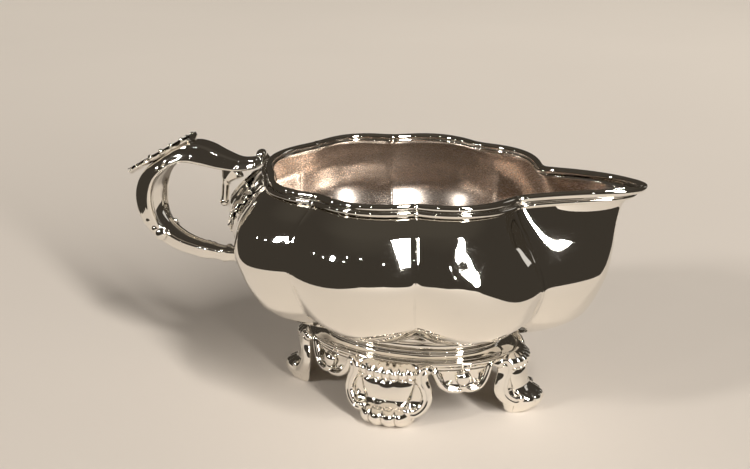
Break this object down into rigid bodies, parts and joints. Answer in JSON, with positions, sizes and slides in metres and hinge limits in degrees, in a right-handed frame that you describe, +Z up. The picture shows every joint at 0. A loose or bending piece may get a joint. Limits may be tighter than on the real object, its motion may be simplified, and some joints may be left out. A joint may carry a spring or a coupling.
{
  "type": "sauce boat",
  "caption": "Silver sauce boat: lobed oval bowl with pulled spout and reeded rim, leaf-topped scroll handle, and a foot of shell feet joined by scroll aprons.",
  "frame": {"origin": "on the table, under the middle of the length and of the width", "axes": "+X to the spout, +Y to the left side, +Z up"},
  "size_m": [0.2024, 0.1292, 0.094],
  "materials": {
    "raised_silver": "polished sterling silver sheet, slightly warm, with fine wear marks",
    "cast_silver": "polished cast sterling silver, slightly darker in the recesses"
  },
  "bodies": {
    "root": {"bowl": "raised_silver", "rim_moulding": "raised_silver", "foot_collar": "cast_silver", "foot_ring": "cast_silver", "foot_spout": "cast_silver", "foot_left": "cast_silver", "foot_handle": "cast_silver", "foot_right": "cast_silver", "apron_spout_left": "cast_silver", "apron_handle_left": "cast_silver", "apron_handle_right": "cast_silver", "apron_spout_right": "cast_silver", "handle_scroll": "cast_silver", "handle_leaf": "cast_silver", "handle_spur": "cast_silver", "handle_socket": "cast_silver", "handle_pad": "cast_silver"}
  },
  "joints": []
}
